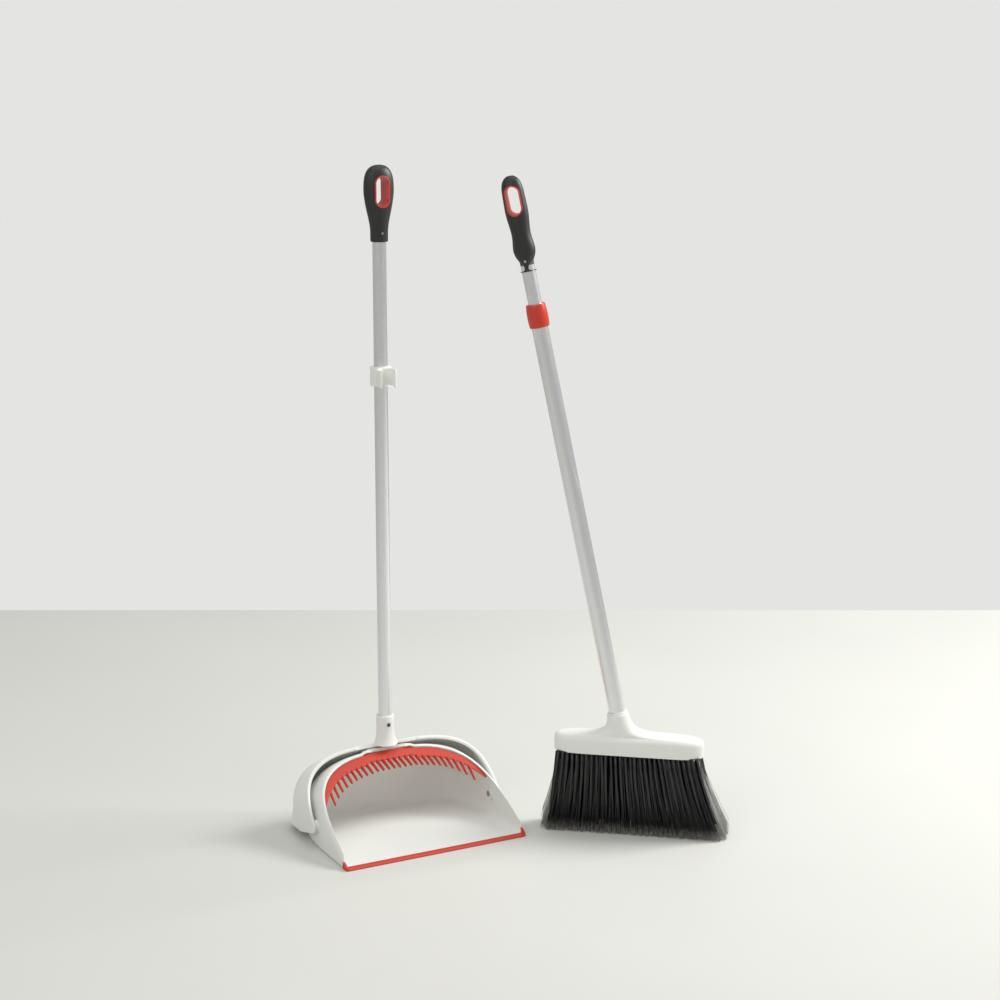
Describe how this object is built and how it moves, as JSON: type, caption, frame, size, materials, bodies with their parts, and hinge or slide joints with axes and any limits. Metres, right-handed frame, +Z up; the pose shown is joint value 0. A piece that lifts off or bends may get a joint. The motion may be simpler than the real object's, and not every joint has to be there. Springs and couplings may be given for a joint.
{
  "type": "upright dustpan and broom set",
  "caption": "Upright dustpan with tilting pan, hood, bristle comb, long handle and broom clip, and a telescopic broom with flared bristles.",
  "frame": {"origin": "on the floor under the axis of the dustpan handle, on the underside of the pan", "axes": "+Z up along the dustpan handle; the pan mouth faces -Y; the broom stands at +X"},
  "size_m": [0.5794, 0.3744, 0.983],
  "materials": {
    "white_plastic": "satin",
    "grey_plastic": "satin",
    "red_rubber": "matt",
    "red_plastic": "satin",
    "soft_grip": "soft satin",
    "aluminium": "satin anodised",
    "steel": "brushed",
    "button_grey": "satin",
    "black_filament": "satin filament",
    "clear_filament": "translucent filament"
  },
  "bodies": {
    "dustpan_body": {"hood_shell": "white_plastic", "pivot_pins": "steel", "dustpan_tube": "aluminium", "button_spring": "steel", "broom_clip": "white_plastic", "dustpan_grip": "soft_grip", "dustpan_grip_core": "grey_plastic", "dustpan_hang_ring": "red_plastic", "dustpan_grip_pin": "steel"},
    "pan": {"pan_scoop": "white_plastic", "lip_strip": "red_rubber", "comb_band": "red_plastic", "comb_teeth": "red_plastic"},
    "snap_button": {"snap_button": "button_grey"},
    "broom": {"broom_block": "white_plastic", "tuft_row_1": "black_filament", "tuft_row_2": "black_filament", "tuft_row_3": "black_filament", "tuft_row_4": "black_filament", "tuft_row_5": "black_filament", "clear_tufts": "clear_filament", "neck_ring": "grey_plastic", "broom_lower_tube": "aluminium", "pole_collet": "grey_plastic"},
    "twist_collar": {"twist_collar": "red_plastic"},
    "broom_handle": {"broom_upper_tube": "aluminium", "guide_bush": "grey_plastic", "broom_grip": "soft_grip", "broom_grip_core": "grey_plastic", "broom_hang_ring": "red_plastic", "broom_grip_pin": "steel"}
  },
  "joints": [
    {"name": "pan_tilt", "type": "hinge", "parent": "dustpan_body", "child": "pan", "pos_m": [0, -0.07, 0.032], "axis": [-1, 0, 0], "range_deg": [0, 40]},
    {"name": "button_press", "type": "slide", "parent": "dustpan_body", "child": "snap_button", "axis": [0, 1, 0], "range_m": [0, 0.0025], "stiffness_N_per_m": 1500, "springref_m": -0.002},
    {"name": "broom_lift", "type": "slide", "parent": "dustpan_body", "child": "broom", "axis": [0, 0, 1], "range_m": [0, 0.3]},
    {"name": "collar_twist", "type": "hinge", "parent": "broom", "child": "twist_collar", "pos_m": [0.18375, -0.13786, 0.77247], "axis": [-0.1586, 0.1264, 0.9792], "range_deg": [0, 90]},
    {"name": "handle_extend", "type": "slide", "parent": "broom", "child": "broom_handle", "axis": [-0.1586, 0.1264, 0.9792], "range_m": [-0.045, 0.4]}
  ]
}
